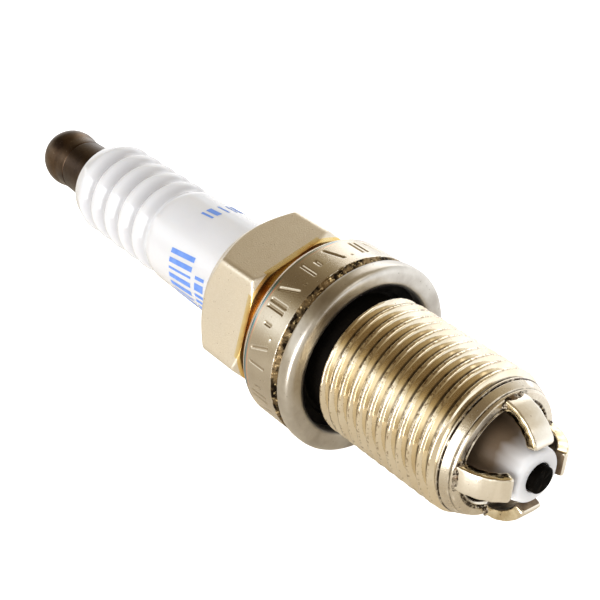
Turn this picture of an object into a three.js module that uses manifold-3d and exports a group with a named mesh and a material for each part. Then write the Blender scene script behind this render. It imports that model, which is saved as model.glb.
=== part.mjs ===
// Spark plug, lying on its side: the axis runs along Y, the firing end points to -Y, Z is up.
// The origin is the middle of the shell's gasket seat. Every size is in millimetres.
import * as THREE from 'three';
import { mergeVertices } from 'three/addons/utils/BufferGeometryUtils.js';
import { ParametricGeometry } from 'three/addons/geometries/ParametricGeometry.js';
import Module from 'manifold-3d';

const wasm = await Module();
wasm.setup();

// Shell
const hexAcrossFlats = 16;
const hexCorner = hexAcrossFlats / Math.sqrt(3);
const hexBottom = 6.6;
const hexTop = 13.4;
const hexTopCircle = 7.9;
const hexBottomCircle = 8.35;
const hexEdgeTop = 11.9;
const hexEdgeBottom = 7.3;
const collarRadius = 9.4;
const collarTop = 5.4;
const collarSeatBevel = 0.65;
const collarTopBevel = 0.7;
const grooveRadius = 7.6;
const neckRadius = 6.0;
const neckLength = 2.5;
const reach = 19;
const endRadius = 6.0;
const endBevel = 0.15;
const endTaper = 0.7;
const endBore = 4.65;
const boreShelf = -1.5;
const seatBore = 4.4;
const cavityBore = 6.45;
const lipBore = 5.6;
const lipTop = 14.9;
const lipUnderside = 13.7;
const lipOutline = [
  [7.35, 13.9],
  [6.9, 14.5],
  [6.2, lipTop],
];

// Thread, M14 x 1.25
const threadPitch = 1.25;
const threadMajor = 13.85 / 2;
const threadMinor = 12.4 / 2;
const threadTurns = 12;
const threadStart = -neckLength;
const threadSegments = 40;
const threadHeights = [0, 0.2, 0.535, 0.665];
const threadShape = [0, 0, 1, 1];
const threadRunOut = 0.4;

// Gasket
const gasketRadius = 9.55;
const gasketBore = 7.45;
const gasketThickness = 1.9;
const gasketLipBore = 6.5;
const gasketClearance = 0.05;
const gasketRound = 0.55;
const gasketLipThickness = 0.35;

// Insulator
const insulatorEnd = 43;
const ribCount = 5;
const ribPitch = 2.7;
const firstRib = 40.6;
const ribCrest = 5.2;
const ribValley = 4.6;
const ribSteps = 6;
const barrelRadius = 5.4;
const barrelEnd = 16;
const shoulderRadius = 6.15;
const shoulderTop = 8.4;
const shoulderBottom = 3.2;
const seatFace = 1.46;
const noseRoot = 4.05;
const noseRootEnd = -10;
const noseTipRadius = 2.55;
const noseTip = -22.8;
const noseRound = 0.75;
const endRound = 0.9;
const endRoundCentre = 3.6;
const wideBore = 2.1;
const narrowBore = 1.38;
const boreStep = -3;

// Centre electrode, seals and resistor
const electrodeRadius = 1.3;
const electrodeTip = -23.35;
const electrodeHeadRadius = 1.95;
const electrodeHeadTop = -1.4;
const copperRadius = 0.7;
const copperTip = -20.5;
const coreGap = 0.05;
const sealRadius = 2.05;
const lowerSealTop = 2;
const resistorTop = 12;
const upperSealTop = 15;

// Terminal stud and nut
const studRadius = 1.95;
const studThreadMinor = 1.6;
const studPitch = 0.7;
const studFlangeRadius = 2.75;
const studFlangeThickness = 0.8;
const studTop = 50.4;
const nutBottom = 44;
const nutBore = 2.03;
const nutBoreTop = 51.6;
const nutSkirtRadius = 3.2;
const nutWaistRadius = 3.02;
const nutWaist = 47.9;
const nutHeadRadius = 3.3;
const nutTop = 54;
const nutFlatRadius = 1;

// Rings around the insulator inside the shell
const ringInside = 5.5;
const ringOutside = 6.38;
const talcBottom = 9.85;
const talcTop = 12.2;
const wireRadius = 0.42;
const wireArcs = 8;
const wireSegments = 36;
const seatWasherInside = 4.6;
const seatWasherOutside = 5.7;
const seatWasherGap = 0.1;
const seatWasherThickness = 0.55;
const seatLow = 0.9;
const seatHigh = 2.6;

// Ground electrodes
const groundCount = 4;
const groundFirstAngle = 71;
const groundWidth = 2.35;
const groundThickness = 1.1;
const groundBaseRadius = 5.85;
const groundTipRadius = 2.9;
const groundFace = -23.05;
const groundBevel = 0.16;
const groundOuterCurve = [
  [5.7, -20.4],
  [4.25, -22.3],
];
const groundInnerCurve = [
  [3.55, -21.45],
  [4.85, -20.45],
];

const roundSegments = 48;
const ringSegments = 36;
const smallSegments = 24;

const finishes = {
  nickel: { color: 0xbfb49c, roughness: 0.32, metalness: 1.0 },
  glaze: { color: 0xf2f1ee, roughness: 0.12, metalness: 0.0 },
  ringSteel: { color: 0xc9c5bd, roughness: 0.42, metalness: 1.0 },
  darkSteel: { color: 0x4a3d35, roughness: 0.38, metalness: 1.0 },
  studSteel: { color: 0x8c8379, roughness: 0.4, metalness: 1.0 },
  sealGlass: { color: 0x6b5140, roughness: 0.5, metalness: 0.2 },
  resistorMix: { color: 0x2b2a29, roughness: 0.8, metalness: 0.0 },
  blackAlloy: { color: 0x1c1a19, roughness: 0.6, metalness: 0.8 },
  copper: { color: 0xb87048, roughness: 0.35, metalness: 1.0 },
  packingWire: { color: 0x8f8b85, roughness: 0.5, metalness: 1.0 },
  talc: { color: 0xd9d3c4, roughness: 0.95, metalness: 0.0 },
  brass: { color: 0x9a7f5c, roughness: 0.45, metalness: 1.0 },
  armAlloy: { color: 0xc4b9a2, roughness: 0.42, metalness: 1.0 },
};

const part = new THREE.Group();
part.name = 'spark_plug';

function addPiece(name, geometry, finish) {
  geometry.computeVertexNormals();
  const mesh = new THREE.Mesh(geometry, new THREE.MeshStandardMaterial(finish));
  mesh.name = name;
  part.add(mesh);
  return mesh;
}

// A body turned about the Y axis from [radius, y] points, running up the outside towards +Y.
function turned(points, segments) {
  return new THREE.LatheGeometry(points.map(([r, y]) => new THREE.Vector2(r, y)), segments);
}

// Welds the shared corners and drops the triangles that have no area.
function welded(geometry) {
  geometry.deleteAttribute('normal');
  geometry.deleteAttribute('uv');
  const merged = mergeVertices(geometry, 1e-4);
  const index = merged.index.array;
  const kept = [];
  for (let i = 0; i < index.length; i += 3) {
    const [a, b, c] = [index[i], index[i + 1], index[i + 2]];
    if (a !== b && b !== c && c !== a) {
      kept.push(a, b, c);
    }
  }
  merged.setIndex(kept);
  return merged;
}

function toSolid(geometry) {
  const merged = welded(geometry);
  const mesh = new wasm.Mesh({
    numProp: 3,
    vertProperties: new Float32Array(merged.attributes.position.array),
    triVerts: new Uint32Array(merged.index.array),
  });
  return new wasm.Manifold(mesh);
}

function toGeometry(solid) {
  const mesh = solid.getMesh();
  const geometry = new THREE.BufferGeometry();
  geometry.setAttribute('position', new THREE.BufferAttribute(mesh.vertProperties, 3));
  geometry.setIndex(new THREE.BufferAttribute(mesh.triVerts, 1));
  return geometry;
}

// Points along part of a circle in the [radius, y] plane, angles in degrees.
function arc(centreR, centreY, radius, from, to, steps) {
  const points = [];
  for (let i = 0; i <= steps; i += 1) {
    const angle = THREE.MathUtils.degToRad(from + ((to - from) * i) / steps);
    points.push([centreR + radius * Math.cos(angle), centreY + radius * Math.sin(angle)]);
  }
  return points;
}

// Screw thread with flat crests and roots. Rows follow the helix and stop at both end faces.
function threadBody() {
  const perTurn = threadHeights.length;
  const rows = (threadTurns + 1) * perTurn;
  const low = threadStart - threadTurns * threadPitch;
  const runOut = threadPitch * threadRunOut;
  const place = (u, v, target) => {
    const step = Math.round(v * (rows + 2)) - 1;
    const angle = u * Math.PI * 2;
    const inside = step >= 0 && step <= rows;
    const row = THREE.MathUtils.clamp(step, 0, rows);
    const turn = Math.floor(row / perTurn);
    const lift = (turn + threadHeights[row % perTurn] - 1 + u) * threadPitch;
    const y = THREE.MathUtils.clamp(low + lift, low, threadStart);
    const fade = Math.min(1, (y - low) / runOut, (threadStart - y) / runOut);
    const full = threadMinor + (threadMajor - threadMinor) * threadShape[row % perTurn] * fade;
    const radius = inside ? full : 0;
    target.set(radius * Math.sin(angle), y, radius * Math.cos(angle));
  };
  return new ParametricGeometry(place, threadSegments, rows + 2);
}

function hexBody() {
  const outline = new THREE.Shape();
  for (let i = 0; i < 6; i += 1) {
    const angle = (i * Math.PI) / 3;
    const [x, z] = [hexCorner * Math.cos(angle), hexCorner * Math.sin(angle)];
    if (i === 0) {
      outline.moveTo(x, z);
    } else {
      outline.lineTo(x, z);
    }
  }
  outline.closePath();
  const prism = new THREE.ExtrudeGeometry(outline, { depth: hexTop - hexBottom, bevelEnabled: false });
  prism.rotateX(-Math.PI / 2);
  prism.translate(0, hexBottom, 0);
  const chamfers = turned([
    [0, hexBottom],
    [hexBottomCircle, hexBottom],
    [hexCorner, hexEdgeBottom],
    [hexCorner + 0.2, hexEdgeBottom + 0.1],
    [hexCorner + 0.2, hexEdgeTop - 0.1],
    [hexCorner, hexEdgeTop],
    [hexTopCircle, hexTop],
    [0, hexTop],
  ], roundSegments);
  return toSolid(prism).intersect(toSolid(chamfers));
}

function buildShell() {
  const end = -reach;
  const body = turned([
    [0, end],
    [endRadius - endBevel, end],
    [endRadius, end + endBevel],
    [threadMinor - 0.02, end + endTaper],
    [threadMinor - 0.02, threadStart - 0.5],
    [neckRadius, threadStart],
    [neckRadius, 0],
    [collarRadius - collarSeatBevel, 0],
    [collarRadius, collarSeatBevel],
    [collarRadius, collarTop - collarTopBevel],
    [collarRadius - 0.25, collarTop - 0.35],
    [collarRadius - collarTopBevel, collarTop],
    [grooveRadius + 0.1, collarTop],
    [grooveRadius, collarTop + 0.3],
    [grooveRadius, hexBottom + 0.3],
    [grooveRadius - 0.3, hexTop - 0.2],
    ...lipOutline,
    [0, lipTop],
  ], roundSegments);
  const bore = turned([
    [0, end - 1],
    [endBore + 1, end - 1],
    [endBore, end],
    [endBore, boreShelf],
    [seatBore, boreShelf + 0.3],
    [seatBore, seatLow],
    [cavityBore, seatHigh],
    [cavityBore, lipUnderside - 0.7],
    [lipBore, lipUnderside],
    [lipBore, lipTop + 1],
    [0, lipTop + 1],
  ], roundSegments);
  return toSolid(body).add(hexBody()).add(toSolid(threadBody())).subtract(toSolid(bore));
}

function buildInsulator() {
  const outside = [[0, noseTip]];
  outside.push([noseTipRadius - noseRound, noseTip]);
  outside.push(...arc(noseTipRadius - noseRound, noseTip + noseRound, noseRound, -60, 0, 4));
  outside.push([noseRoot, noseRootEnd]);
  outside.push([noseRoot, seatFace]);
  outside.push([shoulderRadius, shoulderBottom]);
  outside.push([shoulderRadius, shoulderTop]);
  outside.push([barrelRadius, shoulderTop + 0.45]);
  outside.push([barrelRadius, barrelEnd]);
  const lastRib = firstRib - (ribCount - 1) * ribPitch;
  outside.push([ribCrest, lastRib - ribPitch]);
  const middle = (ribCrest + ribValley) / 2;
  const swing = (ribCrest - ribValley) / 2;
  for (let i = 0; i <= (ribCount - 0.5) * ribSteps; i += 1) {
    const turn = i / ribSteps - 0.5;
    const y = lastRib + turn * ribPitch;
    outside.push([middle + swing * Math.cos(turn * Math.PI * 2), y]);
  }
  outside.push([ribCrest - 0.25, firstRib + 0.7]);
  outside.push(...arc(endRoundCentre, insulatorEnd - endRound, endRound, 20, 90, 4));
  outside.push([0, insulatorEnd]);
  const bore = turned([
    [0, noseTip - 1],
    [narrowBore, noseTip - 1],
    [narrowBore, boreStep],
    [wideBore, boreStep],
    [wideBore, insulatorEnd + 1],
    [0, insulatorEnd + 1],
  ], smallSegments);
  return toSolid(turned(outside, roundSegments)).subtract(toSolid(bore));
}

function loop(points) {
  return [...points, points[0]];
}

// Sealing ring with rounded edges and a thin lip that keeps it on the neck.
function gasketSection() {
  const top = -gasketClearance;
  const bottom = top - gasketThickness;
  const inner = gasketBore + gasketRound;
  const outer = gasketRadius - gasketRound;
  return loop([
    ...arc(outer, bottom + gasketRound, gasketRound, -90, 0, 3),
    ...arc(outer, top - gasketRound, gasketRound, 0, 90, 3),
    [gasketLipBore, top],
    [gasketLipBore, top - gasketLipThickness],
    [gasketBore, top - gasketLipThickness - 0.15],
    ...arc(inner, bottom + gasketRound, gasketRound, 180, 270, 3),
  ]);
}

function nutSection() {
  return loop([
    [nutBore, nutBottom],
    [nutSkirtRadius - 0.1, nutBottom],
    [nutSkirtRadius, nutBottom + 0.3],
    [nutWaistRadius, nutWaist - 0.2],
    [nutWaistRadius, nutWaist + 0.2],
    ...arc(0, nutTop - nutHeadRadius, nutHeadRadius, -18, 71, 9),
    [nutFlatRadius, nutTop - 0.02],
    [0, nutTop - 0.02],
    [0, nutBoreTop],
    [nutBore - 0.6, nutBoreTop - 0.4],
    [nutBore, nutBoreTop - 0.9],
  ]);
}

function studSection() {
  const flangeTop = insulatorEnd + coreGap + studFlangeThickness;
  const points = [
    [0, upperSealTop + coreGap],
    [studRadius - 0.3, upperSealTop + coreGap],
    [studRadius, upperSealTop + 0.5],
    [studRadius, insulatorEnd + coreGap],
    [studFlangeRadius, insulatorEnd + coreGap],
    [studFlangeRadius, flangeTop],
    [studThreadMinor, flangeTop],
  ];
  for (let y = flangeTop + studPitch; y < studTop - studPitch; y += studPitch) {
    points.push([studThreadMinor, y - studPitch * 0.5]);
    points.push([studRadius, y]);
  }
  points.push([studThreadMinor, studTop]);
  points.push([0, studTop]);
  return points;
}

function electrodeSection() {
  const pocket = copperRadius + coreGap;
  return loop([
    [0, electrodeTip],
    [electrodeRadius - 0.15, electrodeTip],
    [electrodeRadius, electrodeTip + 0.15],
    [electrodeRadius, boreStep + coreGap],
    [electrodeHeadRadius, boreStep + coreGap],
    [electrodeHeadRadius, electrodeHeadTop],
    [pocket, electrodeHeadTop],
    [pocket, copperTip],
    [0, copperTip],
  ]);
}

function wireRing(y) {
  const centre = (ringInside + ringOutside) / 2;
  const ring = new THREE.TorusGeometry(centre, wireRadius, wireArcs, wireSegments);
  ring.rotateX(Math.PI / 2);
  ring.translate(0, y, 0);
  return ring;
}

function tube(inside, outside, bottom, top, segments) {
  return turned(loop([
    [inside, bottom],
    [outside, bottom],
    [outside, top],
    [inside, top],
  ]), segments);
}

function seatWasherSection() {
  const slope = (seatHigh - seatLow) / (cavityBore - seatBore);
  const above = (r, gap) => [r, seatLow + (r - seatBore) * slope + gap];
  return loop([
    above(seatWasherInside, seatWasherGap),
    above(seatWasherOutside, seatWasherGap),
    above(seatWasherOutside, seatWasherGap + seatWasherThickness),
    above(seatWasherInside, seatWasherGap + seatWasherThickness),
  ]);
}

// Flat bar that leaves the end of the shell and curls in to the nose of the insulator.
function groundBar() {
  const half = groundWidth / 2 - groundBevel;
  const outerR = groundBaseRadius - groundBevel;
  const innerR = groundBaseRadius - groundThickness + groundBevel;
  const face = groundFace + groundBevel;
  const back = groundFace + groundThickness - groundBevel;
  const tip = groundTipRadius + groundBevel;
  const base = -reach - groundBevel;
  const side = new THREE.Shape();
  side.moveTo(outerR, base);
  side.lineTo(innerR, base);
  side.bezierCurveTo(...groundInnerCurve[1], ...groundInnerCurve[0], tip, back);
  side.lineTo(tip, face);
  side.bezierCurveTo(...groundOuterCurve[1], ...groundOuterCurve[0], outerR, base);
  side.closePath();
  const bar = new THREE.ExtrudeGeometry(side, {
    depth: half * 2,
    bevelEnabled: true,
    bevelThickness: groundBevel,
    bevelSize: groundBevel,
    bevelSegments: 1,
    curveSegments: 9,
  });
  bar.translate(0, 0, -half);
  return toSolid(bar);
}

// A plain round plug of one radius, for the fills stacked inside the insulator.
function fill(radius, bottom, top) {
  return turned([
    [0, bottom],
    [radius, bottom],
    [radius, top],
    [0, top],
  ], smallSegments);
}

const upperSeal = fill(sealRadius, resistorTop + coreGap, upperSealTop);
const resistor = fill(sealRadius, lowerSealTop + coreGap, resistorTop);
const lowerSeal = fill(sealRadius, electrodeHeadTop + coreGap, lowerSealTop);
const copperCore = fill(copperRadius, copperTip + coreGap, electrodeHeadTop);
const lowerRing = wireRing(talcBottom - wireRadius - coreGap);
const upperRing = wireRing(talcTop + wireRadius + coreGap);
const talcRing = tube(ringInside, ringOutside, talcBottom, talcTop, ringSegments);

addPiece('shell', toGeometry(buildShell()), finishes.nickel);
addPiece('insulator', toGeometry(buildInsulator()), finishes.glaze);
addPiece('gasket', turned(gasketSection(), roundSegments), finishes.ringSteel);
addPiece('terminal_nut', turned(nutSection(), ringSegments), finishes.darkSteel);
addPiece('terminal_stud', turned(studSection(), smallSegments), finishes.studSteel);
addPiece('upper_glass_seal', upperSeal, finishes.sealGlass);
addPiece('resistor', resistor, finishes.resistorMix);
addPiece('lower_glass_seal', lowerSeal, finishes.sealGlass);
addPiece('center_electrode', turned(electrodeSection(), smallSegments), finishes.blackAlloy);
addPiece('electrode_copper_core', copperCore, finishes.copper);
addPiece('lower_packing_ring', lowerRing, finishes.packingWire);
addPiece('talc_ring', talcRing, finishes.talc);
addPiece('upper_packing_ring', upperRing, finishes.packingWire);
addPiece('seat_washer', turned(seatWasherSection(), ringSegments), finishes.brass);

for (let i = 0; i < groundCount; i += 1) {
  const arm = addPiece(`ground_electrode_${i + 1}`, toGeometry(groundBar()), finishes.armAlloy);
  arm.rotation.y = -THREE.MathUtils.degToRad(groundFirstAngle + (i * 360) / groundCount);
}

export default part;
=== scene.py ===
import math
import random
import bpy
import bmesh
from mathutils import Matrix, Vector


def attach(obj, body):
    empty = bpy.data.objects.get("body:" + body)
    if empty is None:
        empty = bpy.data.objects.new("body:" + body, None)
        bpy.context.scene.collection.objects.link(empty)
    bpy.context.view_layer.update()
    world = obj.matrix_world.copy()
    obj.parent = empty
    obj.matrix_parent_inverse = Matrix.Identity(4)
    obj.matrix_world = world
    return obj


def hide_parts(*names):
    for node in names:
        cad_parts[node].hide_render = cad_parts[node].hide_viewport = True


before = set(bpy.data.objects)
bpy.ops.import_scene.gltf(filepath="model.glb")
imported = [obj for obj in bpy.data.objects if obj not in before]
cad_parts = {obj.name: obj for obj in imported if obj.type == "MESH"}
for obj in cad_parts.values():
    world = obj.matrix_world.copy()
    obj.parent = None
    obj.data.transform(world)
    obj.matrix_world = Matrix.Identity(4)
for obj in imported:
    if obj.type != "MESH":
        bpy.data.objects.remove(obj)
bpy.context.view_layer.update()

random.seed(7)
mm = 0.001
scene = bpy.context.scene
body, ring, nut = "plug_body", "sealing_ring", "nut"


def corner(points, steps=4):
    # points are (radius, along, fillet); each fillet turns its corner into a small arc
    out = []
    for i, (r, y, f) in enumerate(points):
        here = Vector((r, y))
        if f <= 0 or i in (0, len(points) - 1):
            out.append(here)
            continue
        before = Vector(points[i - 1][:2]) - here
        after = Vector(points[i + 1][:2]) - here
        reach = min(f, before.length * 0.48, after.length * 0.48)
        a = here + before.normalized() * reach
        b = here + after.normalized() * reach
        for k in range(steps + 1):
            t = k / steps
            out.append(a * (1 - t) ** 2 + here * 2 * t * (1 - t) + b * t ** 2)
    return out


def refine(points, longest):
    # splits long runs so that a later shape function has rows to work on
    out = [points[0]]
    for p in points[1:]:
        last = out[-1]
        parts = max(1, math.ceil((p - last).length / longest))
        for k in range(1, parts + 1):
            out.append(last.lerp(p, k / parts))
    return out


def spin(name, profile, segments, shape=None, closed=False, materials=(), pick=None, sharp=34):
    # turns a (radius, along) profile about the plug's Y axis, in millimetres
    verts, rings = [], []
    for p in profile:
        if p.x < 1e-5:
            rings.append([len(verts)])
            verts.append((0, p.y * mm, 0))
            continue
        row = []
        for k in range(segments):
            a = 2 * math.pi * k / segments
            r, y = shape(p.x, p.y, a) if shape else (p.x, p.y)
            row.append(len(verts))
            verts.append((r * math.cos(a) * mm, y * mm, r * math.sin(a) * mm))
        rings.append(row)
    if closed:
        rings.append(rings[0])
    faces = []
    for low, high in zip(rings, rings[1:]):
        for k in range(segments):
            n = (k + 1) % segments
            if len(low) == 1 and len(high) == 1:
                continue
            if len(low) == 1:
                faces.append((low[0], high[n], high[k]))
            elif len(high) == 1:
                faces.append((low[k], low[n], high[0]))
            else:
                faces.append((low[k], low[n], high[n], high[k]))
    return makeObject(name, verts, faces, materials, pick, sharp)


def makeObject(name, verts, faces, materials=(), pick=None, sharp=34):
    mesh = bpy.data.meshes.new(name)
    mesh.from_pydata(verts, [], faces)
    work = bmesh.new()
    work.from_mesh(mesh)
    bmesh.ops.remove_doubles(work, verts=work.verts, dist=1e-7)
    bmesh.ops.recalc_face_normals(work, faces=work.faces)
    for face in work.faces:
        face.smooth = True
        if pick:
            c = face.calc_center_median() / mm
            face.material_index = pick(math.hypot(c.x, c.z), c.y)
    work.to_mesh(mesh)
    work.free()
    mesh.set_sharp_from_angle(angle=math.radians(sharp))
    for m in materials:
        mesh.materials.append(m)
    obj = bpy.data.objects.new(name, mesh)
    scene.collection.objects.link(obj)
    return obj


def place(obj, bodyName, slotName, *nodes):
    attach(obj, bodyName)
    if nodes:
        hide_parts(*nodes)
    return obj


def smoothMin(a, b, k):
    h = max(0.0, min(1.0, 0.5 + 0.5 * (b - a) / k))
    return b + (a - b) * h - k * h * (1 - h)


def smoothStep(a, b, x):
    t = max(0.0, min(1.0, (x - a) / (b - a)))
    return t * t * (3 - 2 * t)


def groupSocket(tree, name, kind, inOut, default=None):
    s = tree.interface.new_socket(name=name, in_out=inOut, socket_type=kind)
    if default is not None:
        s.default_value = default
    return s


def wire(tree, kind, inputs=None, **settings):
    n = tree.nodes.new(kind)
    for key, value in settings.items():
        setattr(n, key, value)
    for key, value in (inputs or {}).items():
        if isinstance(value, bpy.types.NodeSocket):
            tree.links.new(value, n.inputs[key])
        else:
            n.inputs[key].default_value = value
    return n


def compute(tree, operation, a, b=0.0, clamp=False):
    return wire(tree, "ShaderNodeMath", {0: a, 1: b}, operation=operation, use_clamp=clamp).outputs[0]


def times(tree, a, b, clamp=False):
    return compute(tree, "MULTIPLY", a, b, clamp)


def remap(tree, value, low, high, toLow=0.0, toHigh=1.0):
    inputs = {0: value, 1: low, 2: high, 3: toLow, 4: toHigh}
    return wire(tree, "ShaderNodeMapRange", inputs).outputs[0]


def useGroup(tree, group, inputs=None):
    return wire(tree, "ShaderNodeGroup", inputs, node_tree=group)


def buildAxisGroup():
    # along and radius in millimetres and the turn about the axis
    g = bpy.data.node_groups.new("plugAxis", "ShaderNodeTree")
    groupSocket(g, "Along", "NodeSocketFloat", "OUTPUT")
    groupSocket(g, "Radius", "NodeSocketFloat", "OUTPUT")
    groupSocket(g, "Ring", "NodeSocketVector", "OUTPUT")
    groupSocket(g, "Wrap", "NodeSocketVector", "OUTPUT")
    out = g.nodes.new("NodeGroupOutput")
    pos = wire(g, "ShaderNodeTexCoord").outputs["Object"]
    xyz = wire(g, "ShaderNodeSeparateXYZ", {0: pos})
    along = times(g, xyz.outputs[1], 1000.0)
    x2 = times(g, xyz.outputs[0], xyz.outputs[0])
    z2 = times(g, xyz.outputs[2], xyz.outputs[2])
    radius = times(g, compute(g, "SQRT", compute(g, "ADD", x2, z2)), 1000.0)
    turn = compute(g, "ARCTAN2", xyz.outputs[2], xyz.outputs[0])
    ringVector = wire(g, "ShaderNodeCombineXYZ", {0: along, 1: radius, 2: times(g, turn, 0.25)})
    wrapVector = wire(g, "ShaderNodeCombineXYZ", {0: along, 1: times(g, turn, 7.0), 2: radius})
    g.links.new(along, out.inputs["Along"])
    g.links.new(radius, out.inputs["Radius"])
    g.links.new(ringVector.outputs[0], out.inputs["Ring"])
    g.links.new(wrapVector.outputs[0], out.inputs["Wrap"])
    return g


def buildGrainGroup():
    # fine all-over grain, with soft large patches beside it
    g = bpy.data.node_groups.new("surfaceGrain", "ShaderNodeTree")
    groupSocket(g, "Grain Size", "NodeSocketFloat", "INPUT", 0.12)
    groupSocket(g, "Patch Size", "NodeSocketFloat", "INPUT", 3.0)
    groupSocket(g, "Patch Contrast", "NodeSocketFloat", "INPUT", 1.0)
    groupSocket(g, "Grain", "NodeSocketFloat", "OUTPUT")
    groupSocket(g, "Patches", "NodeSocketFloat", "OUTPUT")
    inp, out = g.nodes.new("NodeGroupInput"), g.nodes.new("NodeGroupOutput")
    pos = wire(g, "ShaderNodeTexCoord").outputs["Object"]
    grainScale = compute(g, "DIVIDE", 1000.0, inp.outputs["Grain Size"])
    patchScale = compute(g, "DIVIDE", 1000.0, inp.outputs["Patch Size"])
    fine = wire(g, "ShaderNodeTexNoise",
                {"Vector": pos, "Scale": grainScale, "Detail": 3.0, "Roughness": 0.6})
    soft = wire(g, "ShaderNodeTexNoise",
                {"Vector": pos, "Scale": patchScale, "Detail": 4.0, "Roughness": 0.55})
    centred = compute(g, "SUBTRACT", soft.outputs[0], 0.5)
    spread = times(g, centred, times(g, inp.outputs["Patch Contrast"], 2.5))
    g.links.new(fine.outputs[0], out.inputs["Grain"])
    g.links.new(compute(g, "ADD", spread, 0.5, True), out.inputs["Patches"])
    return g


def buildSpeckGroup():
    # scattered specks; coverage 0 is none and 1 is everywhere
    g = bpy.data.node_groups.new("specks", "ShaderNodeTree")
    groupSocket(g, "Size", "NodeSocketFloat", "INPUT", 0.3)
    groupSocket(g, "Coverage", "NodeSocketFloat", "INPUT", 0.3)
    groupSocket(g, "Softness", "NodeSocketFloat", "INPUT", 0.05)
    groupSocket(g, "Mask", "NodeSocketFloat", "OUTPUT")
    inp, out = g.nodes.new("NodeGroupInput"), g.nodes.new("NodeGroupOutput")
    pos = wire(g, "ShaderNodeTexCoord").outputs["Object"]
    scale = compute(g, "DIVIDE", 1000.0, inp.outputs["Size"])
    noise = wire(g, "ShaderNodeTexNoise", {"Vector": pos, "Scale": scale, "Detail": 2.0, "Roughness": 0.7})
    limit = compute(g, "SUBTRACT", 0.78, times(g, inp.outputs["Coverage"], 0.55))
    over = compute(g, "SUBTRACT", noise.outputs[0], limit)
    edge = compute(g, "DIVIDE", over, inp.outputs["Softness"], True)
    g.links.new(edge, out.inputs["Mask"])
    return g


def buildTurnedGroup():
    # faint lines left by turning, running round the axis
    g = bpy.data.node_groups.new("turnedLines", "ShaderNodeTree")
    groupSocket(g, "Line Width", "NodeSocketFloat", "INPUT", 0.1)
    groupSocket(g, "Lines", "NodeSocketFloat", "OUTPUT")
    inp, out = g.nodes.new("NodeGroupInput"), g.nodes.new("NodeGroupOutput")
    axis = useGroup(g, axisGroup)
    scale = compute(g, "DIVIDE", 1.0, inp.outputs["Line Width"])
    noise = wire(g, "ShaderNodeTexNoise",
                 {"Vector": axis.outputs["Ring"], "Scale": scale, "Detail": 3.0, "Roughness": 0.65})
    g.links.new(noise.outputs[0], out.inputs["Lines"])
    return g


def buildEdgeGroup():
    # 1 on raised edges, 0 elsewhere, for worn edges; the second socket gives the hollows, which are used to
    # paint shade into recesses
    g = bpy.data.node_groups.new("edgeWearAndShade", "ShaderNodeTree")
    groupSocket(g, "Strength", "NodeSocketFloat", "INPUT", 8.0)
    groupSocket(g, "Edges", "NodeSocketFloat", "OUTPUT")
    groupSocket(g, "Hollows", "NodeSocketFloat", "OUTPUT")
    inp, out = g.nodes.new("NodeGroupInput"), g.nodes.new("NodeGroupOutput")
    point = wire(g, "ShaderNodeNewGeometry").outputs["Pointiness"]
    up = times(g, compute(g, "SUBTRACT", point, 0.51), inp.outputs["Strength"], True)
    down = times(g, compute(g, "SUBTRACT", 0.49, point), inp.outputs["Strength"], True)
    g.links.new(up, out.inputs["Edges"])
    g.links.new(down, out.inputs["Hollows"])
    return g


axisGroup = buildAxisGroup()
grainGroup = buildGrainGroup()
speckGroup = buildSpeckGroup()
turnedGroup = buildTurnedGroup()
edgeGroup = buildEdgeGroup()
print("shared effects ready")


def mixColor(tree, factor, a, b):
    n = tree.nodes.new("ShaderNodeMix")
    n.data_type = "RGBA"
    for socket, value in ((n.inputs[0], factor), (n.inputs[6], a), (n.inputs[7], b)):
        if isinstance(value, bpy.types.NodeSocket):
            tree.links.new(value, socket)
        elif socket == n.inputs[0]:
            socket.default_value = value
        else:
            socket.default_value = (*value, 1.0)
    return n.outputs[2]


def startMaterial(name, metallic=0.0, roughness=0.5):
    m = bpy.data.materials.new(name)
    m.use_nodes = True
    t = m.node_tree
    shader = t.nodes["Principled BSDF"]
    shader.inputs["Metallic"].default_value = metallic
    shader.inputs["Roughness"].default_value = roughness
    return m, t, shader


def bumpFrom(tree, shader, height, distance, strength=1.0):
    b = wire(tree, "ShaderNodeBump", {"Height": height, "Strength": strength, "Distance": distance})
    tree.links.new(b.outputs[0], shader.inputs["Normal"])
    return b


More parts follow.
